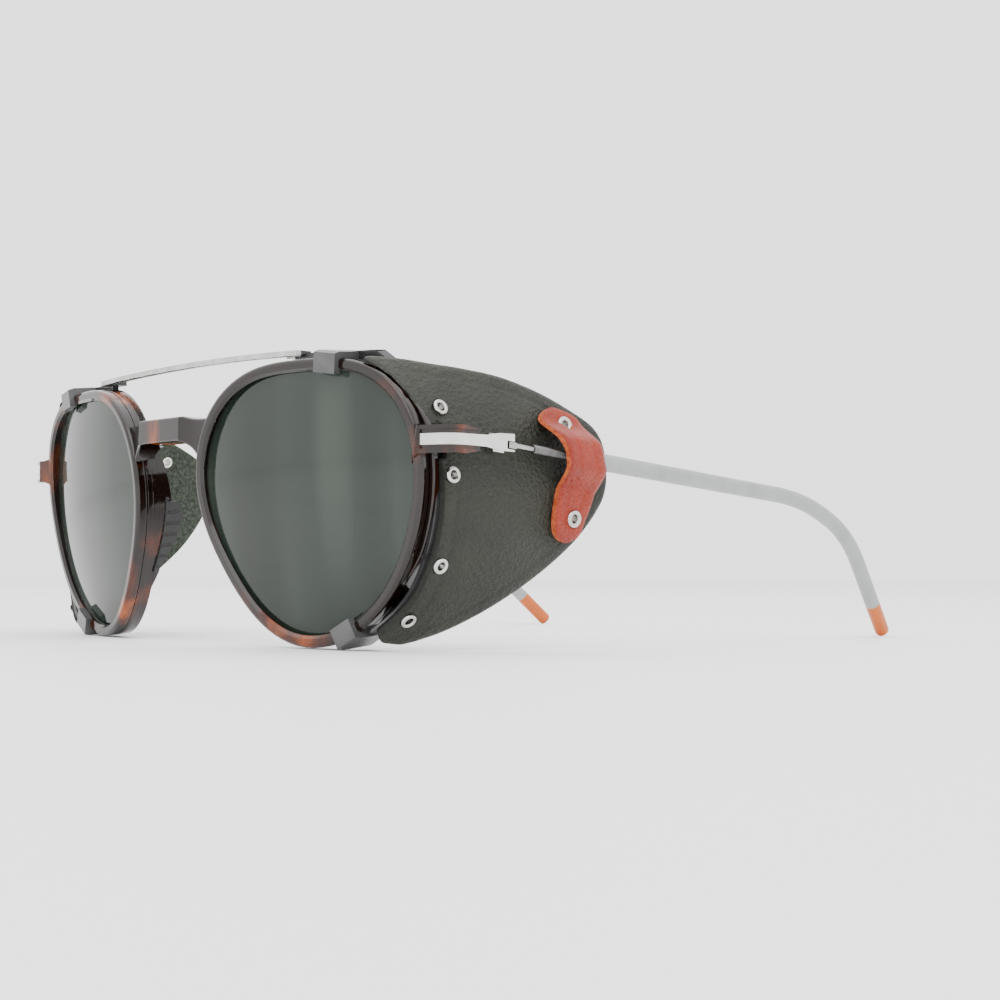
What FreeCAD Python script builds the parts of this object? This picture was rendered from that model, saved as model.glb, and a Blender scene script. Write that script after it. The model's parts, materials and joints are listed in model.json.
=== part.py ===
"""Glacier glasses: round front, clip-on leather side shields, wire temples.

Drawn with x = 0 on the plane of symmetry, y = 0 on the front of the bridge, +Y back
along the temples and +Z up. Everything is drawn on the wearer's left (+X) and mirrored,
then moved so that the origin is at the middle of the footprint, on the table.
"""
import FreeCAD, Part
import math
import os

V = FreeCAD.Vector
X = V(1, 0, 0)
Y = V(0, 1, 0)
Z = V(0, 0, 1)

# ---- driving dimensions, mm ----
TABLE_Z = 0.7            # table height in the drawing frame
MIDDLE_Y = 73.35         # middle of the overall depth
# lens and rim
LENS_CENTRE = V(36.16, 7.55, 26.6)
WRAP_DEG = 10.05         # the temporal side is turned back
TILT_DEG = 5.39          # the top leans forward
LENS_R = 23.27           # mean radius of the lens opening
# the opening's departure from a circle, as (cosine, sine) terms of 1 to 5 times the angle:
# wider than tall, with full upper corners and a narrower foot
LENS_SHAPE = [(0.34, 0.09), (0.98, 0.06), (-0.10, 1.45), (-0.19, -0.05), (-0.18, 0.0)]
LENS_CURVE = 130.0       # radius of the lens's spherical face
LENS_THICK = 2.0
LENS_EDGE = 0.6          # depth of the lens edge in the rim's groove
RIM_WIDE = 2.3
RIM_FRONT = -1.2         # rim faces, measured from the lens edge, + to the rear
RIM_REAR = 3.5
RIM_ROUND = 0.7
RIM_STEP = 0.9           # where the front ring ends and the wall behind it begins
RIM_BULGE = 0.9          # how far a band of the wall stands out at the temple
RIM_BULGE_REAR = 2.3
RIM_BEVEL = 0.7          # bevel round the front of the opening
# bridge and nose
BRIDGE_TOP = 41.5
BRIDGE_ARCH = 37.1
BRIDGE_DEPTH = 4.8
# nasal buttress and pad, seen from the side in the lens plane, as (z, y)
SADDLE_PROFILE = [(11.0, 3.3), (7.0, 4.8), (1.0, 5.6), (-7.0, 5.3), (-13.5, 4.4), (-17.0, 3.3)]
PAD_PROFILE = [(0.8, 3.9), (-0.6, 6.8), (-3.4, 8.0), (-7.4, 7.2), (-13.5, 4.7), (-13.3, 3.9)]
PAD_LEAN = 13.0          # degrees; the pads open towards the rear
PAD_RIBS = 7
# end piece, plate and hinge
PLATE_Z = 34.8
PLATE_TALL = 1.8
PLATE_THICK = 0.8
GROOVE_TALL = 3.1
END_TALL = 4.5
END_FLARE = 3.4          # concave blend of the end piece into the rim, above and below
END_BACK = 17.8          # where the plastic end piece tapers out
PLATE_BACK = 25.4        # end of the plate's fork
SLOT_ROOT = 23.7
SLOT_TALL = 1.35
HINGE = V(66.5, 22.4, 34.55)
HINGE_TILT = 4.6         # degrees; the hinge axis is square to the temple
PIN_R = 0.5
EYE_R = 1.15
EYE_TALL = 1.0
EAR_TALL = 0.8
EAR_GAP = 0.05
RUNNING = 0.04           # radial clearance of the eye on its pin
# temple
WIRE_R = 0.42
COIL_R = 0.76
COIL_PITCH = 0.46
COIL_START = 30.0
SLEEVE_R = 1.5
SLEEVE_START = 44.0
TIP_R = 1.5
TIP_LONG = 9.2
TEMPLE_ROUTE = [V(68.4, 24.4, 34.5), V(67.2, 44.0, 32.95), V(62.1, 107.1, 28.4),
                V(59.5, 124.7, 22.0), V(52.6, 146.0, 1.48)]
# side shield
SHIELD_THICK = 1.6
SHIELD_HALF_TALL = 24.6
CARRIER_THICK = 0.6
CARRIER_DEEP = 4.4
EYELET_HOLE_R = 0.7
EYELET_BARREL_R = 0.98
EYELET_FLANGE_R = 1.38
STRAP_EYELET_R = 1.55
STRAP_THICK = 1.3
FRONT_EYELETS = [(15.4, 40.4), (15.9, 29.4), (15.5, 14.8), (13.9, 5.9)]
STRAP_EYELETS = [(39.3, 38.4), (41.1, 23.1)]
# the shield's outline, seen from the side, as (y, z)
SHIELD_EDGE_FRONT = [(7.0, 49.2), (8.9, 46.4), (10.3, 43.0), (12.5, 36.5), (14.4, 30.1),
                     (14.6, 22.1), (14.3, 15.8), (13.6, 9.3), (12.4, 5.7), (11.4, 3.0)]
SHIELD_EDGE_FOOT = [(11.4, 3.0), (13.2, 2.0), (16.5, 1.9), (22.0, 4.3), (29.4, 8.8),
                    (36.3, 13.4), (41.5, 17.4), (44.9, 20.6), (48.4, 25.0), (49.8, 28.0)]
SHIELD_EDGE_TOP = [(49.8, 28.0), (50.1, 31.5), (49.6, 35.6), (48.5, 37.9), (46.3, 39.8),
                   (41.2, 42.3), (36.2, 44.3), (29.0, 46.4), (22.5, 47.5), (16.7, 48.2),
                   (12.2, 48.9), (7.0, 49.2)]
STRAP_OUTLINE = [(36.8, 41.3), (34.9, 40.2), (34.0, 38.5), (33.8, 36.7), (35.2, 35.0),
                 (36.2, 33.7), (36.4, 32.0), (36.9, 30.2), (37.4, 28.0), (37.0, 25.3),
                 (36.9, 22.4), (37.7, 20.2), (39.6, 19.1), (41.6, 19.4), (43.2, 20.5),
                 (44.2, 22.9), (45.2, 25.2), (45.9, 27.5), (45.5, 30.2), (44.9, 32.6),
                 (44.5, 34.4), (44.1, 36.2), (43.9, 38.0), (42.9, 39.6), (41.3, 40.5),
                 (39.0, 41.1)]
# clips and bridge bar
CLIP_WIDE = 4.8
CLIP_TOP_DEG = (71.0, 82.0)      # place round the rim, and the way the hook faces
CLIP_FOOT_DEG = (-69.5, -63.0)
CLIP_WALL = 1.0
CLIP_LIP = 2.6
BRACKET_THICK = 1.2
BRACKET_HIGH = 1.2
BAR_HALF = 33.6
BAR_END_Z = 50.45
BAR_MID_Z = 51.3
BAR_FRONT_Y = 6.7
BAR_TALL = 1.1
BAR_DEEP = 1.1


# ---- small helpers ----
def closed_spline(points):
    """Face bounded by a smooth closed curve through points."""
    curve = Part.BSplineCurve()
    curve.interpolate(points, True)
    return Part.Face(Part.Wire([curve.toShape()]))


def spline(points):
    curve = Part.BSplineCurve()
    curve.interpolate(points)
    return curve.toShape()


def polygon(points):
    return Part.Face(Part.makePolygon(points + [points[0]]))


def join(shapes):
    fused = shapes[0].multiFuse(shapes[1:]) if len(shapes) > 1 else shapes[0]
    return fused.removeSplitter()


def biggest(shape):
    return max(shape.Solids, key=lambda solid: solid.Volume)


def mirrored(shape):
    return shape.mirror(V(0, 0, 0), X)


def rounded(shape, radius, edges):
    """Fillet the named edges, or leave them sharp where the kernel can't."""
    try:
        result = shape.makeFillet(radius, edges)
        if result.isValid() and result.Volume > 0.5 * shape.Volume:
            return result
    except Exception:
        pass
    return shape


def smooth(value):
    value = min(max(value, 0.0), 1.0)
    return value * value * (3 - 2 * value)


# ---- lens plane ----
def lens_placement():
    wrap = FreeCAD.Rotation(Z, WRAP_DEG)
    tilt = FreeCAD.Rotation(X, TILT_DEG)
    return FreeCAD.Placement(LENS_CENTRE, wrap.multiply(tilt))


def place_on_lens(shape):
    moved = shape.copy()
    moved.Placement = lens_placement().multiply(moved.Placement)
    return moved


def outline_radius(angle, grow=0.0):
    radius = LENS_R + grow
    for i, (cosine, sine) in enumerate(LENS_SHAPE, 1):
        radius += cosine * math.cos(i * angle) + sine * math.sin(i * angle)
    return radius


def outline_point(angle, grow, y, bulge=0.0):
    """Point round the opening; bulge is added at the temple only."""
    radius = outline_radius(angle, grow) + bulge * smooth((math.cos(angle) - 0.8) / 0.15)
    return V(radius * math.cos(angle), y, radius * math.sin(angle))


def outline_wire(grow, y, bulge=0.0, count=48):
    points = [outline_point(2 * math.pi * i / count, grow, y, bulge) for i in range(count)]
    curve = Part.BSplineCurve()
    curve.interpolate(points, True)
    return Part.Wire([curve.toShape()])


def outline_prism(grow, y_from, y_to, bulge=0.0):
    """Solid with the lens's outline, grown by grow, between two depths."""
    return Part.Face(outline_wire(grow, y_from, bulge)).extrude(V(0, y_to - y_from, 0))


def lens_local(edge=LENS_EDGE):
    sag = LENS_CURVE - math.sqrt(LENS_CURVE ** 2 - LENS_R ** 2)
    centre = V(0, LENS_CURVE - sag, 0)
    shell = Part.makeSphere(LENS_CURVE, centre)
    shell = shell.cut(Part.makeSphere(LENS_CURVE - LENS_THICK, centre))
    return biggest(outline_prism(edge, -10, 10).common(shell))


def rim_room(room):
    """The rim's disc and its band, grown by room, that other parts keep out of."""
    wide = RIM_WIDE + room
    disc = outline_prism(wide, RIM_FRONT - room, RIM_REAR + room)
    band = outline_prism(wide, RIM_STEP - room, RIM_BULGE_REAR + room, RIM_BULGE)
    return [place_on_lens(disc), place_on_lens(band)]


# ---- front frame ----
def rim():
    """Front ring and the wall behind it, with a fine groove between them."""
    ring = outline_prism(RIM_WIDE, RIM_FRONT, RIM_STEP)
    front = [e for e in ring.Edges if e.Length > 50 and e.BoundBox.YMax < RIM_FRONT + 0.1]
    ring = rounded(ring, RIM_ROUND, front)
    rear = [e for e in ring.Edges if e.Length > 50 and e.BoundBox.YMin > RIM_STEP - 0.1]
    ring = rounded(ring, 0.28, rear)
    wall = outline_prism(RIM_WIDE - 0.02, RIM_STEP, RIM_REAR)
    band = outline_prism(RIM_WIDE, RIM_STEP, RIM_BULGE_REAR, RIM_BULGE)
    band = rounded(band, 0.28, [e for e in band.Edges if e.Length > 50])
    bevel = Part.makeLoft([outline_wire(0.0, RIM_FRONT + RIM_BEVEL),
                           outline_wire(1.4 * RIM_BEVEL, RIM_FRONT - 0.4 * RIM_BEVEL)], True, True)
    return place_on_lens(ring.cut(bevel).fuse(wall).fuse(band))


def half_bridge():
    """Flat-faced bridge with concave cheeks, cut from its plan and its front outline."""
    plan = Part.Wire([
        Part.makeLine(V(-6.9, 0, 30), V(6.9, 0, 30)),
        Part.Arc(V(6.9, 0, 30), V(9.6, 1.15, 30), V(13.5, 1.9, 30)).toShape(),
        Part.makeLine(V(13.5, 1.9, 30), V(16.5, 1.9, 30)),
        Part.makeLine(V(16.5, 1.9, 30), V(15.5, 5.6, 30)),
        Part.Arc(V(15.5, 5.6, 30), V(0, BRIDGE_DEPTH, 30), V(-15.5, 5.6, 30)).toShape(),
        Part.makeLine(V(-15.5, 5.6, 30), V(-16.5, 1.9, 30)),
        Part.makeLine(V(-16.5, 1.9, 30), V(-13.5, 1.9, 30)),
        Part.Arc(V(-13.5, 1.9, 30), V(-9.6, 1.15, 30), V(-6.9, 0, 30)).toShape(),
    ])
    depth = Part.Face(plan).extrude(V(0, 0, 20))
    front = Part.Wire([
        Part.makeLine(V(-7.4, -2, BRIDGE_TOP), V(7.4, -2, BRIDGE_TOP)),
        Part.Arc(V(7.4, -2, BRIDGE_TOP), V(11.6, -2, 40.9), V(17.5, -2, 42.6)).toShape(),
        Part.makeLine(V(17.5, -2, 42.6), V(15.2, -2, 31.5)),
        Part.makeLine(V(15.2, -2, 31.5), V(11.6, -2, 32.0)),
        Part.Arc(V(11.6, -2, 32.0), V(8.9, -2, 36.0), V(5.4, -2, BRIDGE_ARCH)).toShape(),
        Part.makeLine(V(5.4, -2, BRIDGE_ARCH), V(-5.4, -2, BRIDGE_ARCH)),
        Part.Arc(V(-5.4, -2, BRIDGE_ARCH), V(-8.9, -2, 36.0), V(-11.6, -2, 32.0)).toShape(),
        Part.makeLine(V(-11.6, -2, 32.0), V(-15.2, -2, 31.5)),
        Part.makeLine(V(-15.2, -2, 31.5), V(-17.5, -2, 42.6)),
        Part.Arc(V(-17.5, -2, 42.6), V(-11.6, -2, 40.9), V(-7.4, -2, BRIDGE_TOP)).toShape(),
    ])
    body = Part.Face(front).extrude(V(0, 12, 0)).common(depth)
    body = rounded(body, 0.45, [e for e in body.Edges if e.BoundBox.YMax < 2.2])
    return body.common(Part.makeBox(60, 60, 60, V(0, -20, 0)))


def nasal_wall(inner, outer, profile):
    """Wall that follows the rim's nasal side, cut to a (z, y) profile in the lens plane."""
    depth = (RIM_REAR - 0.3, 14.0)
    wall = outline_prism(outer, *depth).cut(outline_prism(inner, *depth))
    side = polygon([V(-40, y, z) for z, y in profile]).extrude(V(32, 0, 0))
    return biggest(wall.common(side))


def nose_saddle():
    """Buttress behind the rim's nasal side that carries the nose pad."""
    return place_on_lens(nasal_wall(0.5, RIM_WIDE, SADDLE_PROFILE))


def end_block(grow=0.0):
    """Plastic end piece: blends out of the rim, rounds the corner and tapers out behind."""
    z = PLATE_Z
    half = END_TALL / 2 + grow
    back = END_BACK + grow
    low = z - half - END_FLARE
    plan = [Part.makeLine(V(58.9, 11.2 - grow, low), V(62.2, 9.9 - grow, low)),
            Part.makeLine(V(62.2, 9.9 - grow, low), V(64.2, 9.2 - grow, low)),
            Part.makeLine(V(64.2, 9.2 - grow, low), V(67.4, 10.4 - grow, low)),
            Part.Arc(V(67.4, 10.4 - grow, low), V(69.2 + grow, 11.6, low),
                     V(69.8 + grow, 13.6, low)).toShape(),
            Part.makeLine(V(69.8 + grow, 13.6, low), V(69.2 + grow, back, low)),
            Part.makeLine(V(69.2 + grow, back, low), V(65.9 - grow, back, low)),
            Part.makeLine(V(65.9 - grow, back, low), V(65.9 - grow, 14.6 + grow, low)),
            Part.makeLine(V(65.9 - grow, 14.6 + grow, low), V(61.2, 14.0 + grow, low)),
            Part.makeLine(V(61.2, 14.0 + grow, low), V(58.9, 13.2, low)),
            Part.makeLine(V(58.9, 13.2, low), V(58.9, 11.2 - grow, low))]
    plan = Part.Face(Part.Wire(plan)).extrude(V(0, 0, 2 * (half + END_FLARE)))
    front = [Part.makeLine(V(58.0, 0, z + half + END_FLARE), V(58.0, 0, low)),
             Part.makeLine(V(58.0, 0, low), V(59.6, 0, low)),
             Part.Arc(V(59.6, 0, low), V(61.1, 0, z - half - 0.25 * END_FLARE),
                      V(64.2, 0, z - half)).toShape(),
             Part.makeLine(V(64.2, 0, z - half), V(72.0, 0, z - half)),
             Part.makeLine(V(72.0, 0, z - half), V(72.0, 0, z + half)),
             Part.makeLine(V(72.0, 0, z + half), V(64.2, 0, z + half)),
             Part.Arc(V(64.2, 0, z + half), V(61.1, 0, z + half + 0.25 * END_FLARE),
                      V(59.6, 0, z + half + END_FLARE)).toShape(),
             Part.makeLine(V(59.6, 0, z + half + END_FLARE), V(58.0, 0, z + half + END_FLARE))]
    front = Part.Face(Part.Wire(front)).extrude(V(0, 30, 0))
    slim = GROOVE_TALL / 2 + 0.12 + grow
    tall = half + END_FLARE
    taper = polygon([V(58, 0, z - tall), V(58, 14.2, z - tall), V(58, 14.3, z - half),
                     V(58, back, z - slim), V(58, back, z + slim), V(58, 14.3, z + half),
                     V(58, 14.2, z + tall), V(58, 0, z + tall)]).extrude(V(15, 0, 0))
    return biggest(plan.common(front).common(taper))


def plate_path(inset, z):
    """Plate's outer face in plan, moved in by inset: front leg, corner, side leg."""
    front = V(64.2, 9.15 + inset, z)
    bend_a = V(67.2 - 0.4 * inset, 10.25 + inset, z)
    bend_m = V(69.05 - 0.8 * inset, 11.65 + 0.7 * inset, z)
    bend_b = V(69.75 - inset, 13.6, z)
    back = V(68.85 - inset, PLATE_BACK, z)
    return [Part.makeLine(front, bend_a), Part.Arc(bend_a, bend_m, bend_b).toShape(),
            Part.makeLine(bend_b, back)]


def plate_band(outer, inner, tall):
    z = PLATE_Z - tall / 2
    edges_out = plate_path(outer, z)
    edges_in = plate_path(inner, z)
    first = Part.makeLine(edges_out[0].Vertexes[0].Point, edges_in[0].Vertexes[0].Point)
    last = Part.makeLine(edges_out[-1].Vertexes[-1].Point, edges_in[-1].Vertexes[-1].Point)
    wire = Part.Wire(Part.__sortEdges__(edges_out + [last] + edges_in + [first]))
    return Part.Face(wire).extrude(V(0, 0, tall))


def end_plate():
    """Polished plate: slim round the corner, widening to a forked tail with hinge ears."""
    fork = PLATE_BACK - 3.6
    slim = plate_band(0.15, 0.15 + PLATE_THICK, PLATE_TALL)
    tail = plate_band(0.15, 0.15 + PLATE_THICK, 2.9)
    z = PLATE_Z
    fish = polygon([V(60, 15.2, z - 0.9), V(60, 19.0, z - 0.95), V(60, fork, z - 1.4),
                    V(60, PLATE_BACK, z - 1.45), V(60, PLATE_BACK, z + 1.45),
                    V(60, fork, z + 1.4), V(60, 19.0, z + 0.95), V(60, 15.2, z + 0.9)])
    tail = tail.common(fish.extrude(V(15, 0, 0)))
    body = join([slim, tail])
    slot = Part.makeBox(10, 10, SLOT_TALL, V(-4, SLOT_ROOT - HINGE.y, -SLOT_TALL / 2))
    body = body.cut(hinge_frame(slot))
    body = body.fuse(hinge_ears())
    return biggest(body.cut(hinge_frame(Part.makeCylinder(PIN_R, 8, V(0, 0, -4)))))


def hinge_frame(shape):
    """Move a shape drawn round the origin on to the hinge, with its tilted axis."""
    moved = shape.copy()
    moved.Placement = FreeCAD.Placement(HINGE, FreeCAD.Rotation(X, -HINGE_TILT))
    return moved


def hinge_ears():
    reach = 68.2 - HINGE.x
    ears = []
    for low in (EYE_TALL / 2 + EAR_GAP, -EYE_TALL / 2 - EAR_GAP - EAR_TALL):
        ear = Part.makeCylinder(EYE_R, EAR_TALL, V(0, 0, low))
        ears.append(ear.fuse(Part.makeBox(reach, 2 * EYE_R, EAR_TALL, V(0, -EYE_R, low))))
    return hinge_frame(Part.makeCompound(ears))


def hinge_screw():
    low = -EYE_TALL / 2 - EAR_GAP - EAR_TALL
    high = EYE_TALL / 2 + EAR_GAP + EAR_TALL
    screw = Part.makeCylinder(PIN_R, high - low, V(0, 0, low))
    head = Part.makeCylinder(0.95, 0.35, V(0, 0, high))
    head = head.cut(Part.makeBox(2, 0.25, 0.2, V(-1, -0.125, high + 0.2)))
    return hinge_frame(screw.fuse(head).removeSplitter())


def front_frame(plate):
    """One half of the front with its lens hole and grooves, joined to its mirror image."""
    half = rim()
    for piece in (end_block(), nose_saddle(), half_bridge()):
        half = half.fuse(piece)
    hole = place_on_lens(outline_prism(0.0, RIM_FRONT - 3, RIM_REAR + 8))
    lens_groove = place_on_lens(outline_prism(LENS_EDGE, -0.7, LENS_THICK + 0.5))
    plate_groove = plate_band(-0.6, 0.5, GROOVE_TALL)
    for tool in (hole, lens_groove, plate_groove, plate):
        half = half.cut(tool)
    return biggest(half.fuse(mirrored(half)))


# ---- nose pads ----
def nose_pad():
    """Soft ribbed pad behind the buttress, opening to the rear as the nose does."""
    pad = nasal_wall(0.2, RIM_WIDE + 0.5, PAD_PROFILE)
    for i in range(PAD_RIBS):
        z = -11.6 + i * 11.6 / (PAD_RIBS - 1)
        angle = math.pi - math.asin(z / LENS_R)
        ridge = outline_point(angle, RIM_WIDE + 0.62, 2.0)
        pad = pad.cut(Part.makeCylinder(0.34, 12, ridge, Y))
    hinge_line = outline_point(math.pi, 0.0, RIM_REAR)
    pad.rotate(hinge_line, Z, -PAD_LEAN)
    return place_on_lens(biggest(pad))


# ---- side shield surface ----
def shield_radius(y):
    return 26.0 + 24.0 * min(max((y - 5) / 40, 0.0), 1.3)


def shield_middle_z(y):
    return 26.6 + 3.0 * min(max((y - 5) / 40, 0.0), 1.3)


def shield_crest_x(y):
    rise = math.sin(min(max((y - 5) / 25, 0.0), 1.0) * math.pi / 2)
    return 62.6 + 3.2 * rise - 0.6 * smooth((y - 28) / 17)


def shield_point(y, z, inset=0.0):
    """Point on the leather's outer face, moved in by inset along the section's normal."""
    radius = shield_radius(y)
    bend = math.asin(max(-0.97, min(0.97, (z - shield_middle_z(y)) / radius)))
    reach = radius - inset
    return V(shield_crest_x(y) - radius + reach * math.cos(bend), y,
             shield_middle_z(y) + reach * math.sin(bend))


def shield_normal(y, z):
    bend = math.asin((z - shield_middle_z(y)) / shield_radius(y))
    return V(math.cos(bend), 0, math.sin(bend))


def sheet_solid(outer, inner, ys, steps):
    """Closed solid between two surfaces given as functions of y and of a step from -1 to 1."""
    skins = []
    for place in (outer, inner):
        surface = Part.BSplineSurface()
        surface.interpolate([[place(y, s) for s in steps] for y in ys])
        skins.append(surface.toShape())
    walls = [Part.makeRuledSurface(a, b) for a, b in zip(skins[0].Edges, skins[1].Edges)]
    shell = Part.makeCompound(skins + walls)
    shell.sewShape(0.001)
    solid = Part.makeSolid(shell.Shells[0] if shell.Shells else Part.Shell(shell.Faces))
    if solid.Volume < 0:
        solid.reverse()
    return solid


def shield_layer(near, far):
    """Layer of the side shield between two depths below the leather's outer face."""
    ys = [3.0 + 2.4 * i for i in range(21)]
    steps = [-1 + i / 9 for i in range(19)]

    def at(inset):
        return lambda y, s: shield_point(y, shield_middle_z(y) + SHIELD_HALF_TALL * s, inset)
    return sheet_solid(at(near), at(far), ys, steps)


def side_prism(edges):
    """Prism along X on the (y, z) outlines in edges, over the wearer's left side."""
    wire = Part.Wire([spline([V(40, y, z) for y, z in run]) for run in edges])
    return Part.Face(wire).extrude(V(40, 0, 0))


def side_cylinder(place, radius, length, back):
    """Cylinder square to the leather at a (y, z) place, starting back below its face."""
    y, z = place
    normal = shield_normal(y, z)
    return Part.makeCylinder(radius, length, shield_point(y, z) - normal * back, normal)


def side_shield():
    prism = side_prism([SHIELD_EDGE_FRONT, SHIELD_EDGE_FOOT, SHIELD_EDGE_TOP])
    leather = shield_layer(0.0, SHIELD_THICK).common(prism)
    leather = biggest(leather.cut(rim_room(0.3)[0]).cut(end_block(grow=0.3)))
    for place in FRONT_EYELETS:
        leather = leather.cut(side_cylinder(place, EYELET_BARREL_R + 0.05, 12, 6))
    for place in STRAP_EYELETS:
        leather = leather.cut(side_cylinder(place, EYELET_BARREL_R + 0.4, 12, 6))
    return biggest(leather)


def shield_carrier():
    """Thin band inside the leather's front edge, with a bracket to each clip."""
    front = [(y - 0.8, z) for y, z in SHIELD_EDGE_FRONT[1:]]
    back = [(y + CARRIER_DEEP, z) for y, z in SHIELD_EDGE_FRONT[1:]]
    cap = [front[0], back[0]]
    foot = [front[-1], back[-1]]
    prism = Part.Face(Part.Wire([
        spline([V(40, y, z) for y, z in front]),
        Part.makeLine(V(40, *foot[0]), V(40, *foot[1])),
        spline([V(40, y, z) for y, z in back]),
        Part.makeLine(V(40, *cap[0]), V(40, *cap[1])),
    ])).extrude(V(40, 0, 0))
    depth = SHIELD_THICK + 0.02
    band = biggest(shield_layer(depth, depth + CARRIER_THICK).common(prism))
    leather = shield_layer(-6.0, SHIELD_THICK)
    body = band
    for tool in rim_room(0.05) + [end_block(grow=0.3)]:
        body = biggest(body.cut(tool))
    for piece in (bracket(101, 41, 70, BRACKET_HIGH, 2.4), bracket(-77, -42, -64, 0.5, 4.6)):
        body = body.fuse(biggest(piece.cut(leather)))
    for place in FRONT_EYELETS:
        body = body.cut(side_cylinder(place, EYELET_BARREL_R, 12, 6))
    return body


def bracket(inner_deg, outer_deg, web_deg, high, flare_out):
    """Upright strip behind the rim, following it and flaring from web_deg to meet the band."""
    count = 14
    low = []
    top = []
    for i in range(count + 1):
        degrees = inner_deg + (outer_deg - inner_deg) * i / count
        flare = smooth((degrees - web_deg) / (outer_deg - web_deg)) * flare_out
        angle = math.radians(degrees)
        low.append(outline_point(angle, RIM_WIDE - 1.4, RIM_REAR + 0.1))
        top.append(outline_point(angle, RIM_WIDE + high + flare, RIM_REAR + 0.1))
    edges = [spline(low), Part.makeLine(low[-1], top[-1]), spline(top), Part.makeLine(top[0], low[0])]
    face = Part.Face(Part.Wire(Part.__sortEdges__(edges)))
    return place_on_lens(face.extrude(V(0, BRACKET_THICK, 0)))


def eyelet(place, flange, depth, lift=0.0):
    """Rolled eyelet: domed outer flange, barrel and flat inner flange, round a hole."""
    crown = 0.42
    profile = Part.Wire([
        Part.makeLine(V(-depth, EYELET_HOLE_R, 0), V(0.12, EYELET_HOLE_R, 0)),
        Part.Arc(V(0.12, EYELET_HOLE_R, 0), V(crown, (EYELET_HOLE_R + flange) / 2, 0),
                 V(0.0, flange, 0)).toShape(),
        Part.makeLine(V(0.0, flange, 0), V(0.0, EYELET_BARREL_R, 0)),
        Part.makeLine(V(0.0, EYELET_BARREL_R, 0), V(-depth, EYELET_BARREL_R, 0)),
        Part.makeLine(V(-depth, EYELET_BARREL_R, 0), V(-depth, EYELET_HOLE_R, 0)),
    ])
    body = Part.Face(profile).revolve(V(0, 0, 0), X, 360)
    back = Part.makeCylinder(flange - 0.35, 0.15, V(-depth - 0.15, 0, 0), X)
    back = back.cut(Part.makeCylinder(EYELET_HOLE_R, 1, V(-depth - 0.5, 0, 0), X))
    body = join([body, back])
    normal = shield_normal(*place)
    body.Placement = FreeCAD.Placement(shield_point(*place) + normal * lift,
                                       FreeCAD.Rotation(X, normal))
    return body


def shield_eyelets():
    depth = SHIELD_THICK + CARRIER_THICK + 0.04
    return Part.makeCompound([eyelet(p, EYELET_FLANGE_R, depth) for p in FRONT_EYELETS])


def strap_eyelets():
    lift = STRAP_THICK + 0.12
    depth = STRAP_THICK + SHIELD_THICK + 0.2
    return Part.makeCompound([eyelet(p, STRAP_EYELET_R, depth, lift) for p in STRAP_EYELETS])


# ---- clips and bar ----
def clip(place_deg, facing_deg):
    """Plastic hook over the rim, front to back, that grips the shield's bracket."""
    front = RIM_FRONT - CLIP_WALL
    back = RIM_REAR + BRACKET_THICK + 0.1 + CLIP_WALL
    half = CLIP_WIDE / 2
    section = polygon([V(-CLIP_LIP, front, -half), V(0.8, front, -half), V(1.15, front + 1.2, -half),
                       V(1.15, back, -half), V(-1.6, back, -half), V(-1.6, RIM_REAR - 0.4, -half),
                       V(-0.9, RIM_REAR - 0.4, -half), V(-0.9, RIM_FRONT + 0.4, -half),
                       V(-CLIP_LIP, RIM_FRONT + 0.4, -half)])
    body = section.extrude(V(0, 0, CLIP_WIDE))
    body.Placement = FreeCAD.Placement(outline_point(math.radians(place_deg), RIM_WIDE, 0),
                                       FreeCAD.Rotation(Y, -facing_deg))
    return place_on_lens(body)


def bridge_bar():
    """Slim bar, gently arched, from one top clip to the other."""
    z = BAR_END_Z
    rise = BAR_MID_Z - BAR_END_Z
    low = Part.Arc(V(-BAR_HALF, BAR_FRONT_Y, z), V(0, BAR_FRONT_Y, z + rise),
                   V(BAR_HALF, BAR_FRONT_Y, z)).toShape()
    top = Part.Arc(V(-BAR_HALF, BAR_FRONT_Y, z + BAR_TALL), V(0, BAR_FRONT_Y, z + rise + BAR_TALL),
                   V(BAR_HALF, BAR_FRONT_Y, z + BAR_TALL)).toShape()
    ends = [Part.makeLine(V(s * BAR_HALF, BAR_FRONT_Y, z), V(s * BAR_HALF, BAR_FRONT_Y, z + BAR_TALL))
            for s in (-1, 1)]
    body = Part.Face(Part.Wire(Part.__sortEdges__([low, top] + ends))).extrude(V(0, BAR_DEEP, 0))
    return rounded(body, 0.25, [e for e in body.Edges if e.Length > 20])


def bar_lug(x):
    """Ear of the bracket that the bar is riveted to."""
    return Part.makeBox(4.2, 2.2, BAR_TALL, V(x - 2.1, BAR_FRONT_Y + BAR_DEEP, BAR_END_Z + 0.05))


# ---- temple ----
def rounded_route(points):
    """Straight runs joined by the largest tangent arcs that the runs leave room for."""
    edges = []
    start = points[0]
    for before, corner, after in zip(points, points[1:], points[2:]):
        back = (before - corner)
        ahead = (after - corner)
        trim = 0.45 * min(back.Length, ahead.Length)
        turn = math.pi - back.getAngle(ahead)
        back.normalize()
        ahead.normalize()
        radius = trim / math.tan(turn / 2)
        a = corner + back * trim
        b = corner + ahead * trim
        middle = back + ahead
        middle.normalize()
        hub = corner + middle * (radius / math.cos(turn / 2))
        edges.append(Part.makeLine(start, a))
        edges.append(Part.Arc(a, hub - middle * radius, b).toShape())
        start = b
    edges.append(Part.makeLine(start, points[-1]))
    return Part.Wire(edges)


def route_tube(wire, radius, bore=0.0):
    """Round tube swept along a wire."""
    first = wire.Edges[0]
    centre = first.valueAt(first.FirstParameter)
    direction = first.tangentAt(first.FirstParameter)
    ring = Part.Wire(Part.makeCircle(radius, centre, direction))
    tube = wire.makePipeShell([ring], True, True)
    if bore:
        hole = wire.makePipeShell([Part.Wire(Part.makeCircle(bore, centre, direction))], True, True)
        tube = tube.cut(hole)
    return biggest(tube)


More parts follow.
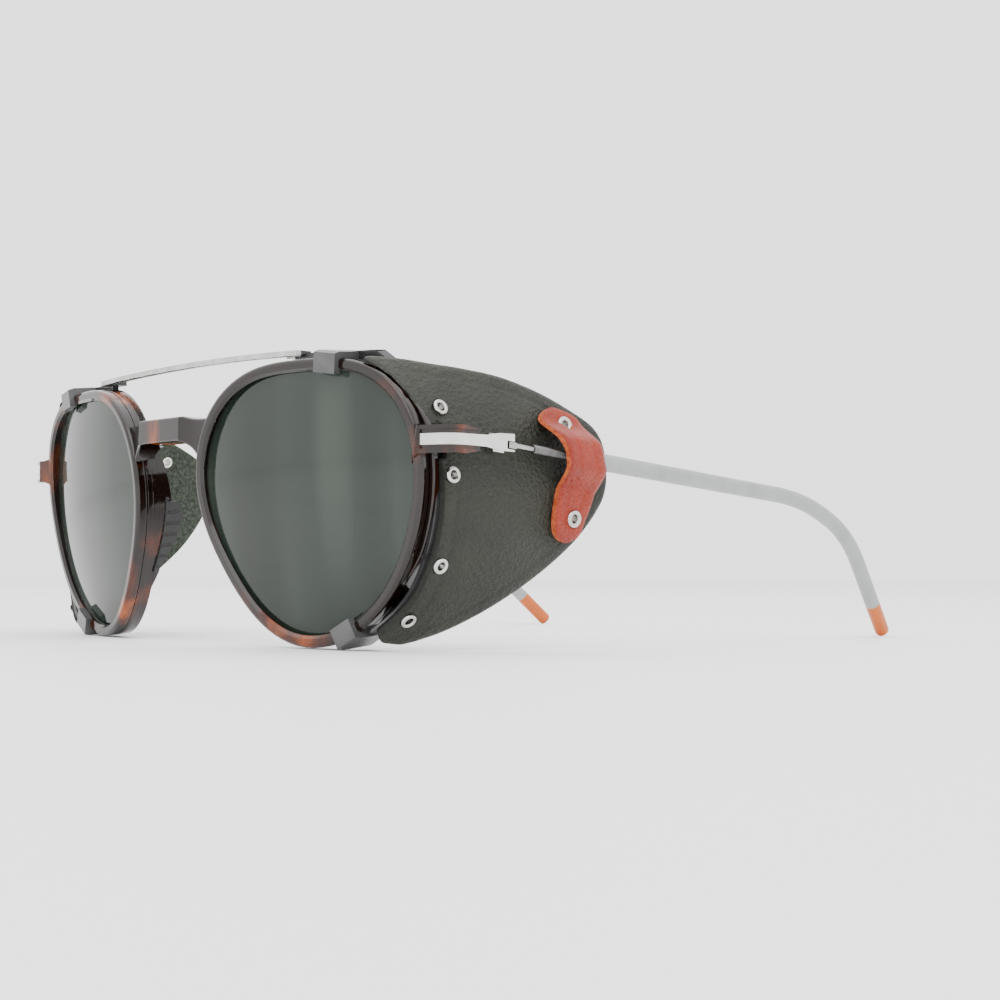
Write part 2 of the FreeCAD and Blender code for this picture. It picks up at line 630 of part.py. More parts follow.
def route_between(start_y, end_gap):
    """Part of the temple's route from start_y back, ending end_gap short of its end."""
    points = list(TEMPLE_ROUTE)
    while points[1].y < start_y:
        points.pop(0)
    a, b = points[0], points[1]
    points[0] = a + (b - a) * ((start_y - a.y) / (b.y - a.y)) if start_y > a.y else a
    last = points[-1] - points[-2]
    last.normalize()
    points[-1] = points[-1] - last * end_gap
    return points


def temple_wire():
    return route_tube(rounded_route(route_between(TEMPLE_ROUTE[0].y, 4.0)), WIRE_R)


def temple_sleeve():
    tube = route_tube(rounded_route(route_between(TEMPLE_ROUTE[0].y, TIP_LONG)), SLEEVE_R, WIRE_R)
    return biggest(tube.common(Part.makeBox(200, 200, 200, V(-50, SLEEVE_START + 0.06, -100))))


def temple_coil():
    """Close-wound coil on the wire, as a ribbed sleeve of its outer shape."""
    a, b = TEMPLE_ROUTE[0], TEMPLE_ROUTE[1]
    axis = b - a
    axis.normalize()
    start = a + axis * ((COIL_START - a.y) / axis.y)
    long = (SLEEVE_START - COIL_START) / axis.y
    turns = int(long / COIL_PITCH)
    pitch = long / turns
    edges = []
    for i in range(turns):
        x = i * pitch
        edges.append(Part.Arc(V(x, COIL_R - 0.14, 0), V(x + pitch / 2, COIL_R, 0),
                              V(x + pitch, COIL_R - 0.14, 0)).toShape())
    corners = [V(long, COIL_R - 0.14, 0), V(long, WIRE_R, 0), V(0, WIRE_R, 0), V(0, COIL_R - 0.14, 0)]
    for p, q in zip(corners, corners[1:]):
        edges.append(Part.makeLine(p, q))
    body = Part.Face(Part.Wire(edges)).revolve(V(0, 0, 0), X, 360)
    body.Placement = FreeCAD.Placement(start, FreeCAD.Rotation(X, axis))
    return body


def tip_axis():
    end = TEMPLE_ROUTE[-1]
    axis = end - TEMPLE_ROUTE[-2]
    axis.normalize()
    return end - axis * TIP_LONG, axis


def temple_tip():
    """Moulded end cap with a rounded nose, on the end of the wire."""
    start, axis = tip_axis()
    nose = 0.9
    profile = Part.Wire([
        Part.makeLine(V(0, 0, 0), V(0, TIP_R, 0)),
        Part.makeLine(V(0, TIP_R, 0), V(TIP_LONG - nose, TIP_R, 0)),
        Part.Arc(V(TIP_LONG - nose, TIP_R, 0), V(TIP_LONG - nose * 0.3, TIP_R - nose * 0.3, 0),
                 V(TIP_LONG, TIP_R - nose, 0)).toShape(),
        Part.makeLine(V(TIP_LONG, TIP_R - nose, 0), V(TIP_LONG, 0, 0)),
        Part.makeLine(V(TIP_LONG, 0, 0), V(0, 0, 0)),
    ])
    body = Part.Face(profile).revolve(V(0, 0, 0), X, 360)
    body.Placement = FreeCAD.Placement(start, FreeCAD.Rotation(X, axis))
    return biggest(body.cut(Part.makeCylinder(WIRE_R, TIP_LONG - 4.0 + 1, start - axis, axis)))


def temple_head():
    """Hinge eye with an arm that steps out to the wire."""
    eye = Part.makeCylinder(EYE_R, EYE_TALL, V(0, 0, -EYE_TALL / 2))
    arm = polygon([V(-0.6, 0.3, -EYE_TALL / 2), V(1.0, 0.2, -EYE_TALL / 2), V(1.45, 1.5, -EYE_TALL / 2),
                   V(2.5, 1.55, -EYE_TALL / 2), V(2.5, 3.2, -EYE_TALL / 2),
                   V(1.3, 3.2, -EYE_TALL / 2), V(0.2, 1.6, -EYE_TALL / 2)])
    body = eye.fuse(arm.extrude(V(0, 0, EYE_TALL))).removeSplitter()
    body = body.cut(Part.makeCylinder(PIN_R + RUNNING, 4, V(0, 0, -2)))
    body = hinge_frame(body)
    a, b = TEMPLE_ROUTE[0], TEMPLE_ROUTE[1]
    return biggest(body.cut(Part.makeCylinder(WIRE_R, 12, a, b - a)))


# ---- strap ----
def temple_z(y):
    a, b = TEMPLE_ROUTE[0], TEMPLE_ROUTE[1]
    c = TEMPLE_ROUTE[2]
    if y > b.y:
        a, b = b, c
    return a.z + (b.z - a.z) * (y - a.y) / (b.y - a.y)


def temple_x(y):
    a, b = TEMPLE_ROUTE[0], TEMPLE_ROUTE[1]
    c = TEMPLE_ROUTE[2]
    if y > b.y:
        a, b = b, c
    return a.x + (b.x - a.x) * (y - a.y) / (b.y - a.y)


def strap_lift(y, z):
    """How far the strap's inner face stands off the leather where it bridges the temple."""
    crest = temple_x(y) + SLEEVE_R + 0.08 - shield_point(y, temple_z(y)).x
    spread = abs(z - temple_z(y)) / 4.6
    return 0.06 + (crest - 0.06) * (1 - smooth(spread - 0.33)) if spread < 1.4 else 0.06


def strap():
    """Leather tab over the temple, riveted to the shield at both ends."""
    ys = [31.8 + 1.2 * i for i in range(15)]
    steps = [-1 + i / 16 for i in range(33)]

    def at(extra):
        def place(y, s):
            z = 31.0 + 14.0 * s
            return shield_point(y, z) + shield_normal(y, z) * (strap_lift(y, z) + extra)
        return place
    outline = closed_spline([V(40, y, z) for y, z in STRAP_OUTLINE]).extrude(V(40, 0, 0))
    body = sheet_solid(at(STRAP_THICK), at(0.0), ys, steps).common(outline)
    for place in STRAP_EYELETS:
        body = body.cut(side_cylinder(place, EYELET_BARREL_R, 12, 6))
    return biggest(body)


# ---- the assembly ----
def left_side():
    """Every piece that exists once on each side, drawn on the wearer's left."""
    plate = end_plate()
    carrier = shield_carrier().fuse(bar_lug(BAR_HALF - 2.2))
    return {
        "lens": place_on_lens(lens_local()),
        "nose_pad": nose_pad(),
        "end_plate": plate,
        "hinge_screw": hinge_screw(),
        "shield_carrier": carrier,
        "shield_eyelets": shield_eyelets(),
        "clip_top": clip(*CLIP_TOP_DEG),
        "clip_bottom": clip(*CLIP_FOOT_DEG),
        "side_shield": side_shield(),
        "temple_head": temple_head(),
        "temple_wire": temple_wire(),
        "temple_coil": temple_coil(),
        "temple_sleeve": temple_sleeve(),
        "temple_tip": temple_tip(),
        "strap": strap(),
        "strap_eyelets": strap_eyelets(),
    }


def assemble():
    left = left_side()
    nodes = {}
    frame = front_frame(left["end_plate"])
    nodes["front_frame"] = frame
    nodes["bridge_bar"] = bridge_bar()
    for name in ("clip_top", "clip_bottom"):
        left[name] = biggest(left[name].cut(frame).cut(left["shield_carrier"]))
    left["side_shield"] = biggest(left["side_shield"].cut(left["clip_top"]).cut(left["clip_bottom"]))
    left["nose_pad"] = biggest(left["nose_pad"].cut(frame))
    for name, shape in left.items():
        nodes[name + "_left"] = shape
        nodes[name + "_right"] = mirrored(shape)
    return nodes


def main():
    os.makedirs("parts", exist_ok=True)
    move = V(0, -MIDDLE_Y, -TABLE_Z)
    low = V(1e9, 1e9, 1e9)
    high = V(-1e9, -1e9, -1e9)
    for name, shape in assemble().items():
        shape.translate(move)
        shape.exportStep("parts/" + name + ".step")
        box = shape.BoundBox
        low = V(min(low.x, box.XMin), min(low.y, box.YMin), min(low.z, box.ZMin))
        high = V(max(high.x, box.XMax), max(high.y, box.YMax), max(high.z, box.ZMax))
        print(f"{name:22s} solids {len(shape.Solids)} valid {shape.isValid()} volume {shape.Volume:.1f}"
              f" z {box.ZMin:.2f}..{box.ZMax:.2f} y {box.YMin:.2f}..{box.YMax:.2f}")
    print("overall", low, high)


main()
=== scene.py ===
"""Glacier glasses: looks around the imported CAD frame. Metres, +Z up."""
import bpy
import json
import math
from mathutils import Matrix, Vector
from mathutils.geometry import delaunay_2d_cdt
from mathutils.kdtree import KDTree
from mathutils.noise import noise as noise_at

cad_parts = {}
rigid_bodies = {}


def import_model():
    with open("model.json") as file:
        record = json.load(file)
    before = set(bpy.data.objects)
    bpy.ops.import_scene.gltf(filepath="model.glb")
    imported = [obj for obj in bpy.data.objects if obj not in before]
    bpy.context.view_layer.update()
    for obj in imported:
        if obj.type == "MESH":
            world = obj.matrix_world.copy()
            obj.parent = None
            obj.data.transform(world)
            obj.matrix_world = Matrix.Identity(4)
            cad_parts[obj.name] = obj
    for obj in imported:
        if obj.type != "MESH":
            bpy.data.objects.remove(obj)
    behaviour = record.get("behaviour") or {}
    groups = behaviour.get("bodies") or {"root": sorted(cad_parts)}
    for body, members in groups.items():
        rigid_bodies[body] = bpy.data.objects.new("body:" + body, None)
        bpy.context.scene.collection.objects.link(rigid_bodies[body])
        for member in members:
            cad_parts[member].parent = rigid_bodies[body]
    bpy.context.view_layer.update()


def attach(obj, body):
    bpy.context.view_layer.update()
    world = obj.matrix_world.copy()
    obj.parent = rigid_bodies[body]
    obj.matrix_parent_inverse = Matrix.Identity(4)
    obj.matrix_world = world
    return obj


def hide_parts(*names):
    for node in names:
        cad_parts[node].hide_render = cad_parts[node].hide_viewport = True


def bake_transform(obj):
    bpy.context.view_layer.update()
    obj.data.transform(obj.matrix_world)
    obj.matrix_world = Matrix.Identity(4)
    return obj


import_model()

MM = 0.001
SIDES = (("left", 1.0), ("right", -1.0))
# the drawing frame of the CAD source, from the row frame, in mm
MIDDLE_Y = 73.35
TABLE_Z = 0.7


def row(x, y, z):
    """A point of the drawing frame, in mm, as a place in the row frame, in metres."""
    return Vector((x * MM, (y - MIDDLE_Y) * MM, (z - TABLE_Z) * MM))


# ---- camera ----
CAMERA_PLACE = row(278.856, -164.014, 13.722)
CAMERA_AZIMUTH = 48.449
CAMERA_ELEVATION = -2.393
CAMERA_ROLL = 0.268
CAMERA_LENS = 63.0


def make_camera():
    data = bpy.data.cameras.new("camera")
    data.lens = CAMERA_LENS
    data.sensor_width = 36.0
    data.clip_start = 0.01
    data.clip_end = 20.0
    camera = bpy.data.objects.new("camera", data)
    bpy.context.scene.collection.objects.link(camera)
    azimuth = math.radians(CAMERA_AZIMUTH)
    elevation = math.radians(CAMERA_ELEVATION)
    back = Vector((math.sin(azimuth) * math.cos(elevation),
                   -math.cos(azimuth) * math.cos(elevation), math.sin(elevation)))
    right = Vector((0, 0, 1)).cross(back).normalized()
    up = back.cross(right)
    roll = math.radians(CAMERA_ROLL)
    rolled_right = math.cos(roll) * right + math.sin(roll) * up
    rolled_up = back.cross(rolled_right)
    turn = Matrix((rolled_right, rolled_up, back)).transposed()
    camera.matrix_world = Matrix.Translation(CAMERA_PLACE) @ turn.to_4x4()
    bpy.context.scene.camera = camera


make_camera()


# ---- stage and lights ----
FLOOR_HALF = 3.0              # metres
FLOOR_GREY = 0.93
WORLD_STRENGTH = 2.3


def make_floor():
    mesh = bpy.data.meshes.new("floor")
    half = FLOOR_HALF
    mesh.from_pydata([(-half, -half, 0), (half, -half, 0), (half, half, 0), (-half, half, 0)],
                     [], [(0, 1, 2, 3)])
    floor = bpy.data.objects.new("floor", mesh)
    bpy.context.scene.collection.objects.link(floor)
    material = bpy.data.materials.new("floor")
    material.use_nodes = True
    shader = material.node_tree.nodes["Principled BSDF"]
    shader.inputs["Base Color"].default_value = (FLOOR_GREY, FLOOR_GREY, FLOOR_GREY, 1)
    shader.inputs["Roughness"].default_value = 0.6
    mesh.materials.append(material)


def area_light(name, place, target, size, power):
    """Soft rectangular light; places and size in metres, power in watts."""
    data = bpy.data.lights.new(name, "AREA")
    data.shape = "RECTANGLE"
    data.size = size[0]
    data.size_y = size[1]
    data.energy = power
    light = bpy.data.objects.new(name, data)
    bpy.context.scene.collection.objects.link(light)
    light.location = place
    direction = Vector(target) - Vector(place)
    light.rotation_euler = direction.to_track_quat("-Z", "Y").to_euler()


def make_lights():
    world = bpy.data.worlds.new("studio")
    world.use_nodes = True
    background = world.node_tree.nodes["Background"]
    background.inputs["Color"].default_value = (1, 1, 1, 1)
    background.inputs["Strength"].default_value = WORLD_STRENGTH
    bpy.context.scene.world = world
    area_light("key", (0.5, -0.5, 0.7), (0, 0, 0.02), (0.7, 0.7), 3)
    area_light("top", (0, 0, 0.9), (0, 0, 0), (1.2, 1.2), 5)


# ---- materials ----
# noise scales are features per metre, in object space
SATIN_SCALE = 300
SHIELD_GRAIN = 1150
STRAP_GRAIN = 1500


def new_material(name, colour, roughness, metallic=0.0):
    material = bpy.data.materials.new(name)
    material.use_nodes = True
    shader = material.node_tree.nodes["Principled BSDF"]
    shader.inputs["Base Color"].default_value = (*colour, 1)
    shader.inputs["Roughness"].default_value = roughness
    shader.inputs["Metallic"].default_value = metallic
    return material


def noise(material, scale, detail=4.0, stretch=(1, 1, 1), kind="ShaderNodeTexNoise"):
    """Noise in object space; returns the texture node."""
    nodes = material.node_tree.nodes
    links = material.node_tree.links
    place = nodes.new("ShaderNodeTexCoord")
    mapping = nodes.new("ShaderNodeMapping")
    mapping.inputs["Scale"].default_value = stretch
    texture = nodes.new(kind)
    texture.inputs["Scale"].default_value = scale
    if "Detail" in texture.inputs:
        texture.inputs["Detail"].default_value = detail
    links.new(place.outputs["Object"], mapping.inputs["Vector"])
    links.new(mapping.outputs["Vector"], texture.inputs["Vector"])
    return texture


def ramp(material, source, stops):
    """Colour ramp from a texture's value into the shader's colour."""
    nodes = material.node_tree.nodes
    links = material.node_tree.links
    node = nodes.new("ShaderNodeValToRGB")
    elements = node.color_ramp.elements
    while len(elements) < len(stops):
        elements.new(0.5)
    for element, (position, colour) in zip(elements, stops):
        element.position = position
        element.color = (*colour, 1)
    links.new(source, node.inputs["Fac"])
    links.new(node.outputs["Color"], nodes["Principled BSDF"].inputs["Base Color"])


def bump(material, source, strength, distance):
    """Fine relief, distance metres high, on top of any relief that the shader already has."""
    nodes = material.node_tree.nodes
    links = material.node_tree.links
    node = nodes.new("ShaderNodeBump")
    node.inputs["Strength"].default_value = strength
    node.inputs["Distance"].default_value = distance
    shader = nodes["Principled BSDF"]
    if shader.inputs["Normal"].is_linked:
        links.new(shader.inputs["Normal"].links[0].from_socket, node.inputs["Normal"])
    links.new(source, node.inputs["Height"])
    links.new(node.outputs["Normal"], shader.inputs["Normal"])


def tortoise():
    """Dark tortoise acetate: near-black brown with amber glints at the edges."""
    material = new_material("tortoise", (0.006, 0.002, 0.001), 0.1)
    cloud = noise(material, 95, 3.0, (1.0, 1.0, 0.45))
    ramp(material, cloud.outputs["Fac"],
         [(0.0, (0.002, 0.001, 0.001)), (0.52, (0.006, 0.002, 0.001)),
          (0.61, (0.06, 0.010, 0.0008)), (0.72, (0.32, 0.062, 0.002))])
    return material


def lens_material():
    """Grey-green mineral glass, seen through a little, with faint upright lighter and darker bands
    painted in as reflections of the studio lights.
    """
    material = new_material("lens", (0.02, 0.03, 0.025), 0.04)
    shader = material.node_tree.nodes["Principled BSDF"]
    shader.inputs["Alpha"].default_value = 0.96
    shader.inputs["Specular IOR Level"].default_value = 0.35
    # painted reflection: upright lighter and darker bands in the glass colour stand in for the studio
    # lights mirrored in the lens
    painted_reflection_streaks = noise(material, 55, 1.5, (1.0, 1.0, 0.06))
    ramp(material, painted_reflection_streaks.outputs["Fac"],
         [(0.35, (0.009, 0.014, 0.010)), (0.52, (0.018, 0.026, 0.020)), (0.7, (0.050, 0.064, 0.052))])
    return material


def leather_material(name, colours, grain, shine):
    """Pebbled leather: fine cells and pores over a slow change of colour."""
    material = new_material(name, colours[0], shine)
    material.node_tree.nodes["Principled BSDF"].inputs["Specular IOR Level"].default_value = 0.4
    cloud = noise(material, 140, 6.0)
    ramp(material, cloud.outputs["Fac"], [(0.3, colours[0]), (0.7, colours[1])])
    cells = noise(material, grain, kind="ShaderNodeTexVoronoi")
    bump(material, cells.outputs["Distance"], 0.8, 0.00035)
    pores = noise(material, grain * 2.4, 3.0)
    bump(material, pores.outputs["Fac"], 0.35, 0.00012)
    return material


def suede_material(name, colours):
    """Napped inner face or cut edge: matte and speckled."""
    material = new_material(name, colours[0], 0.95)
    nap = noise(material, 1500, 5.0)
    ramp(material, nap.outputs["Fac"], [(0.36, colours[0]), (0.64, colours[1])])
    bump(material, nap.outputs["Fac"], 0.5, 0.0002)
    return material


def satin_material(name, colour, other, roughness, metallic=0.0):
    """Plain finish with a faint change of colour, for plastics and metals."""
    material = new_material(name, colour, roughness, metallic)
    cloud = noise(material, SATIN_SCALE, 3.0)
    ramp(material, cloud.outputs["Fac"], [(0.35, colour), (0.65, other)])
    return material


GREEN = ((0.0055, 0.0070, 0.0028), (0.0110, 0.0132, 0.0058))
SUEDE_GREEN = ((0.012, 0.016, 0.010), (0.045, 0.056, 0.040))
CUT_GREEN = ((0.004, 0.005, 0.003), (0.010, 0.012, 0.008))
ORANGE = ((0.20, 0.010, 0.001), (0.30, 0.022, 0.0015))
CUT_ORANGE = ((0.30, 0.040, 0.006), (0.48, 0.11, 0.03))

MATERIALS = {
    "tortoise": tortoise(),
    "brushed_bar": satin_material("brushed_bar", (0.42, 0.42, 0.41), (0.55, 0.55, 0.54), 0.25, 1.0),
    "lens": lens_material(),
    "pad_rubber": satin_material("pad_rubber", (0.004, 0.004, 0.005), (0.007, 0.007, 0.008), 0.5),
    "polished_plate": satin_material("polished_plate", (0.60, 0.60, 0.59), (0.70, 0.70, 0.69), 0.1, 1.0),
    "steel": satin_material("steel", (0.22, 0.22, 0.22), (0.36, 0.36, 0.35), 0.2, 1.0),
    "carrier": satin_material("carrier", (0.012, 0.012, 0.013), (0.022, 0.022, 0.023), 0.2),
    "eyelet_metal": satin_material("eyelet_metal", (0.45, 0.44, 0.42), (0.58, 0.57, 0.55), 0.2, 1.0),
    "clip_plastic": satin_material("clip_plastic", (0.048, 0.048, 0.049), (0.070, 0.070, 0.070), 0.28),
    "green_leather": leather_material("green_leather", GREEN, SHIELD_GRAIN, 0.5),
    "green_suede": suede_material("green_suede", SUEDE_GREEN),
    "green_edge": suede_material("green_edge", CUT_GREEN),
    "coil_steel": satin_material("coil_steel", (0.09, 0.09, 0.09), (0.20, 0.20, 0.20), 0.32, 1.0),
    "sleeve_silicone": satin_material("sleeve_silicone", (0.24, 0.25, 0.25), (0.28, 0.29, 0.29), 0.4),
    "tip_orange": satin_material("tip_orange", (0.42, 0.080, 0.0008), (0.50, 0.10, 0.0012), 0.4),
    "orange_leather": leather_material("orange_leather", ORANGE, STRAP_GRAIN, 0.46),
    "orange_edge": suede_material("orange_edge", CUT_ORANGE),
}

NODE_SLOTS = {
    "front_frame": "tortoise", "bridge_bar": "brushed_bar", "lens": "lens",
    "nose_pad": "pad_rubber", "end_plate": "polished_plate", "hinge_screw": "steel",
    "shield_carrier": "carrier", "shield_eyelets": "eyelet_metal", "clip_top": "clip_plastic",
    "clip_bottom": "clip_plastic", "side_shield": "green_leather", "temple_head": "steel",
    "temple_wire": "steel", "temple_coil": "coil_steel", "temple_sleeve": "sleeve_silicone",
    "temple_tip": "tip_orange", "strap": "orange_leather", "strap_eyelets": "eyelet_metal",
}


def paint_nodes():
    for obj in bpy.data.objects:
        if obj.type != "MESH":
            continue
        base = obj.name
        for side, _ in SIDES:
            base = base.removesuffix("_" + side)
        if base in NODE_SLOTS:
            obj.data.materials.clear()
            obj.data.materials.append(MATERIALS[NODE_SLOTS[base]])


# ---- leather pieces, in mm in the drawing frame ----
SHIELD_THICK = 1.6
STRAP_THICK = 1.3
# surface detail
MESH_STEP = 0.42
EDGE_ROUND = 0.22             # how far the outer face drops at the cut edge
EDGE_WIDE = 0.7
CREASE_IN = 2.3               # the pressed line runs this far inside the cut edge
CREASE_DEEP = 0.10
CREASE_WIDE = 0.28
WAVE = 0.16                   # slow unevenness of the whole sheet
SHIELD_PEBBLE = 0.035
STRAP_PEBBLE = 0.03
SHIELD_EDGE = [(7.6, 49.0), (8.9, 46.4), (10.3, 43.0), (12.2, 38.3), (13.2, 37.5), (15.0, 37.4),
               (15.1, 34.8), (15.0, 32.2), (13.9, 32.0), (14.4, 30.1), (14.6, 22.1), (14.3, 15.8),
               (13.6, 9.3), (12.4, 5.7), (11.5, 3.3), (12.2, 2.2), (14.0, 1.8), (16.5, 1.9),
               (22.0, 4.3), (29.4, 8.8), (36.3, 13.4), (41.5, 17.4), (44.9, 20.6), (48.4, 25.0),
               (49.8, 28.0), (50.1, 31.5), (49.6, 35.6), (48.5, 37.9), (46.3, 39.8), (41.2, 42.3),
               (36.2, 44.3), (29.0, 46.4), (22.5, 47.5), (16.7, 48.2), (12.2, 48.9)]
STRAP_EDGE = [(36.8, 41.3), (34.9, 40.2), (34.0, 38.5), (33.8, 36.7), (35.2, 35.0), (36.2, 33.7),
              (36.4, 32.0), (36.9, 30.2), (37.4, 28.0), (37.0, 25.3), (36.9, 22.4), (37.7, 20.2),
              (39.6, 19.1), (41.6, 19.4), (43.2, 20.5), (44.2, 22.9), (45.2, 25.2), (45.9, 27.5),
              (45.5, 30.2), (44.9, 32.6), (44.5, 34.4), (44.1, 36.2), (43.9, 38.0), (42.9, 39.6),
              (41.3, 40.5), (39.0, 41.1)]
FRONT_HOLES = [(15.4, 40.4), (15.9, 29.4), (15.5, 14.8), (13.9, 5.9)]
STRAP_HOLES = [(39.3, 38.4), (41.1, 23.1)]
HOLE_R = 1.02
HOLE_SIDES = 20
# the rim that the leather stays clear of
LENS_CENTRE = (36.16, 7.55, 26.6)
WRAP = math.radians(10.05)
TILT = math.radians(5.39)
LENS_R = 23.27
LENS_SHAPE = [(0.34, 0.09), (0.98, 0.06), (-0.10, 1.45), (-0.19, -0.05), (-0.18, 0.0)]
RIM_WIDE = 2.42
RIM_FRONT = -1.6
RIM_REAR = 3.9


def smooth(value):
    value = min(max(value, 0.0), 1.0)
    return value * value * (3 - 2 * value)


def shield_section(y):
    """Radius, middle height and crest of the leather's cross-section."""
    share = min(max((y - 5) / 40, 0.0), 1.3)
    rise = math.sin(min(max((y - 5) / 25, 0.0), 1.0) * math.pi / 2)
    return 26 + 24 * share, 26.6 + 3 * share, 62.6 + 3.2 * rise - 0.6 * smooth((y - 28) / 17)


def shield_point(y, z, out=0.0):
    """Point of the leather's outer face, moved out along the section's normal."""
    radius, middle, crest = shield_section(y)
    bend = math.asin(max(-0.97, min(0.97, (z - middle) / radius)))
    reach = radius + out
    return Vector((crest - radius + reach * math.cos(bend), y, middle + reach * math.sin(bend)))


def outline_radius(angle):
    radius = LENS_R
    for i, (cosine, sine) in enumerate(LENS_SHAPE, 1):
        radius += cosine * math.cos(i * angle) + sine * math.sin(i * angle)
    return radius


TO_LENS = (Matrix.Translation(Vector(LENS_CENTRE)) @ Matrix.Rotation(WRAP, 4, "Z")
           @ Matrix.Rotation(TILT, 4, "X")).inverted()


def rim_clearance(point):
    """How far a point is outside the rim; large where it is in front of or behind the rim."""
    local = TO_LENS @ point
    if not RIM_FRONT < local.y < RIM_REAR:
        return 99.0
    rim = outline_radius(math.atan2(local.z, local.x)) + RIM_WIDE
    return math.hypot(local.x, local.z) - rim


def temple_place(y):
    """x and z of the temple wire."""
    share = (y - 24.4) / 19.6
    if y > 44:
        share = (y - 44) / 63.1
        return 67.2 - 5.1 * share, 32.95 - 4.55 * share
    return 68.4 - 1.2 * share, 34.5 - 1.55 * share


def strap_lift(y, z):
    """How far the strap's inner face stands off the leather where it bridges the temple."""
    wire_x, wire_z = temple_place(y)
    crest = wire_x + 1.58 - shield_point(y, wire_z).x
    spread = abs(z - wire_z) / 4.6
    return 0.06 + (crest - 0.06) * (1 - smooth(spread - 0.33)) if spread < 1.4 else 0.06


def curve_value(a, b, c, d, t):
    """Catmull-Rom curve between b and c, in one coordinate."""
    return 0.5 * (2 * b + (c - a) * t + (2 * a - 5 * b + 4 * c - d) * t * t
                  + (3 * b - a - 3 * c + d) * t ** 3)


def loop_through(points, step):
    """Evenly spaced points along a smooth closed curve through points."""
    count = len(points)
    fine = []
    for i in range(count):
        a, b, c, d = (points[(i + k - 1) % count] for k in range(4))
        for j in range(12):
            fine.append(tuple(curve_value(a[k], b[k], c[k], d[k], j / 12) for k in (0, 1)))
    out = [fine[0]]
    for p in fine[1:]:
        if math.dist(p, out[-1]) >= step:
            out.append(p)
    if math.dist(out[-1], out[0]) < 0.6 * step:
        out.pop()
    return out


def inside(point, loop):
    """Whether a flat point is inside a closed loop of points."""
    hit = False
    y, z = point
    for (y1, z1), (y2, z2) in zip(loop, loop[1:] + loop[:1]):
        if (z1 > z) != (z2 > z) and y < y1 + (z - z1) * (y2 - y1) / (z2 - z1):
            hit = not hit
    return hit


def edge_distance(point, tree):
    """Distance from a flat point to the nearest point of the cut edge."""
    return tree.find(Vector((point[0], point[1], 0)))[2]


def flat_mesh(loop, holes, step):
    """Triangles over a flat cut with round holes: points, faces, boundary distance."""
    rings = [loop]
    turns = [2 * math.pi * i / HOLE_SIDES for i in range(HOLE_SIDES)]
    for y, z in holes:
        rings.append([(y + HOLE_R * math.cos(turn), z + HOLE_R * math.sin(turn)) for turn in turns])
    points = []
    edges = []
    for ring in rings:
        first = len(points)
        points += ring
        edges += [(first + i, first + (i + 1) % len(ring)) for i in range(len(ring))]
    tree = KDTree(len(loop))
    for i, p in enumerate(loop):
        tree.insert(Vector((p[0], p[1], 0)), i)
    tree.balance()
    low = [min(p[k] for p in loop) for k in (0, 1)]
    high = [max(p[k] for p in loop) for k in (0, 1)]
    rows = int((high[1] - low[1]) / step) + 1
    columns = int((high[0] - low[0]) / step) + 1
    for j in range(rows):
        for i in range(columns):
            p = (low[0] + (i + 0.5 * (j % 2)) * step, low[1] + j * step)
            if edge_distance(p, tree) < 0.7 * step or not inside(p, loop):
                continue
            if any(math.dist(p, h) < HOLE_R + 0.6 * step for h in holes):
                continue
            points.append(p)
    flat, _, faces, _, _, _ = delaunay_2d_cdt([Vector(p) for p in points], edges, [], 1, 1e-6)
    keep = []
    for face in faces:
        middle = sum((flat[i] for i in face), Vector((0, 0))) / len(face)
        if all(math.dist(middle, h) > 0.94 * HOLE_R for h in holes) and inside(middle, loop):
            keep.append(tuple(face))
    flat = [tuple(p) for p in flat]
    return flat, keep, [edge_distance(p, tree) for p in flat]


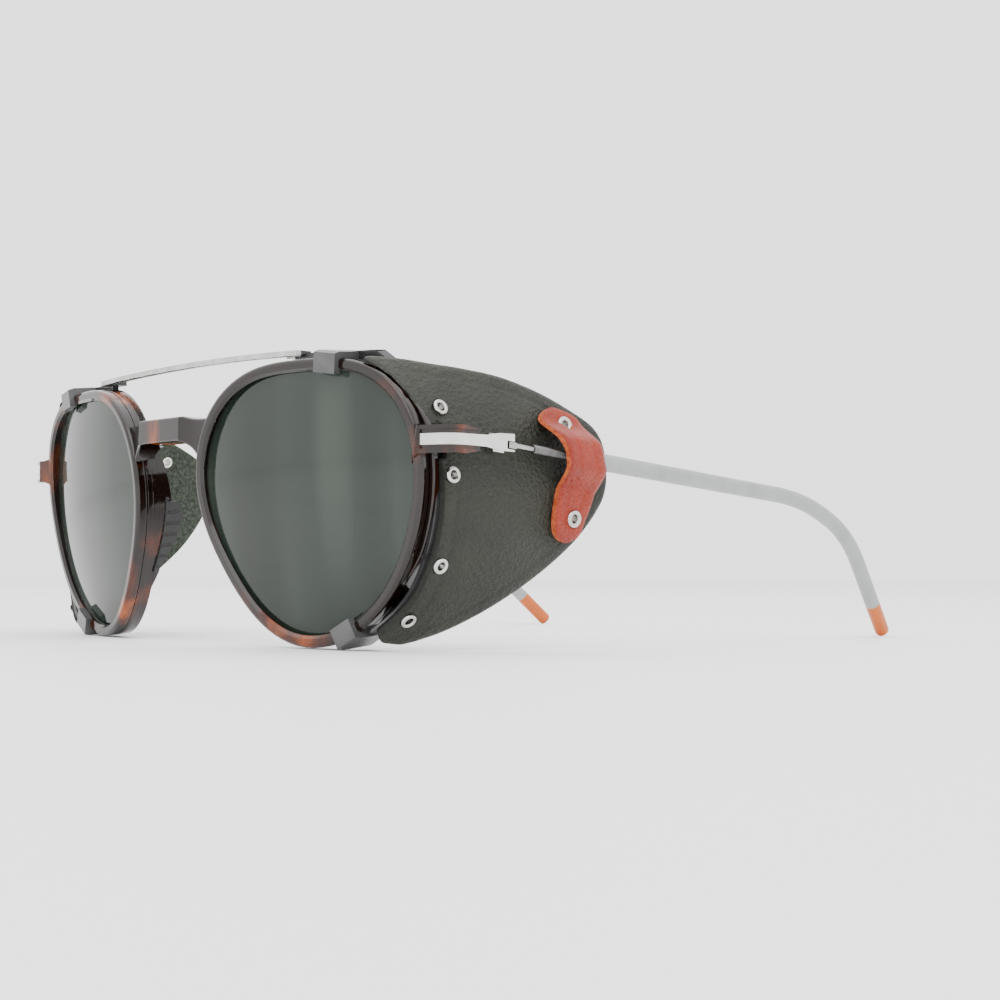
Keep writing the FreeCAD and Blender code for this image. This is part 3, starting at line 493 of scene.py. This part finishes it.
def sheet_piece(name, loop, holes, step, place, thickness, materials, grain, side):
    """Leather cut to a loop: grained outer face, plain inner face, walls at the cut edges.

    materials are those of the outer face, the inner face and the cut edges."""
    flat, faces, edge = flat_mesh(loop, holes, step)
    count = len(flat)
    outer = []
    inner = []
    for (y, z), reach in zip(flat, edge):
        drop = EDGE_ROUND * (1 - smooth(reach / EDGE_WIDE))
        crease = CREASE_DEEP * math.exp(-((reach - CREASE_IN) / CREASE_WIDE) ** 2)
        pebble = grain * noise_at(Vector((y * 0.9, z * 0.9, 3.0 + side)))
        wave = WAVE * noise_at(Vector((y * 0.08, z * 0.08, 8.0 + side))) * smooth(reach / 6)
        outer.append(place(y, z, thickness - drop - crease + pebble + wave))
        inner.append(place(y, z, 0.3 * drop + wave))
    vertices = [Vector((side * p.x, p.y, p.z)) for p in outer + inner]
    turn = 1 if side > 0 else -1
    quads = []
    slots = []
    border = set()
    for face in faces:
        a, b, c = face
        cross = (flat[b][0] - flat[a][0]) * (flat[c][1] - flat[a][1]) \
            - (flat[b][1] - flat[a][1]) * (flat[c][0] - flat[a][0])
        ordered = (a, b, c) if cross > 0 else (a, c, b)
        quads.append(ordered[::turn])
        slots.append(0)
        quads.append(tuple(i + count for i in ordered)[::-turn])
        slots.append(1)
        for i in range(3):
            border.add((ordered[i], ordered[(i + 1) % 3]))
    for a, b in sorted(border):
        if (b, a) not in border:
            quads.append((a, a + count, b + count, b)[::turn])
            slots.append(2)
    mesh = bpy.data.meshes.new(name)
    mesh.from_pydata([row(*v) for v in vertices], [], quads)
    for material in materials:
        mesh.materials.append(MATERIALS[material])
    mesh.polygons.foreach_set("material_index", slots)
    mesh.polygons.foreach_set("use_smooth", [s != 2 for s in slots])
    mesh.update()
    obj = bpy.data.objects.new(name, mesh)
    bpy.context.scene.collection.objects.link(obj)
    return obj


def shield_place(y, z, out):
    """Point at height out above the leather's inner face, pushed out until it clears the rim."""
    point = shield_point(y, z, out - SHIELD_THICK)
    outwards = (shield_point(y, z, 1.0) - shield_point(y, z, 0.0)).normalized()
    for _ in range(12):
        if rim_clearance(point) >= 0.05 * out:
            break
        point += outwards * 0.25
    return point


def strap_place(y, z, out):
    """Point at height out above the strap's inner face."""
    return shield_point(y, z, strap_lift(y, z) + out)


def make_leather():
    step = MESH_STEP
    shield_loop = loop_through(SHIELD_EDGE, step)
    strap_loop = loop_through(STRAP_EDGE, 0.8 * step)
    for side_name, side in SIDES:
        shield = sheet_piece("leather_shield_" + side_name, shield_loop, FRONT_HOLES + STRAP_HOLES,
                             step, shield_place, SHIELD_THICK,
                             ("green_leather", "green_suede", "green_edge"), SHIELD_PEBBLE, side)
        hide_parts("side_shield_" + side_name)
        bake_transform(shield)
        strap = sheet_piece("leather_strap_" + side_name, strap_loop, STRAP_HOLES, 0.8 * step,
                            strap_place, STRAP_THICK,
                            ("orange_leather", "orange_edge", "orange_edge"), STRAP_PEBBLE, side)
        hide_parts("strap_" + side_name)
        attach(strap, "temple_" + side_name)


paint_nodes()
make_leather()
make_floor()
make_lights()
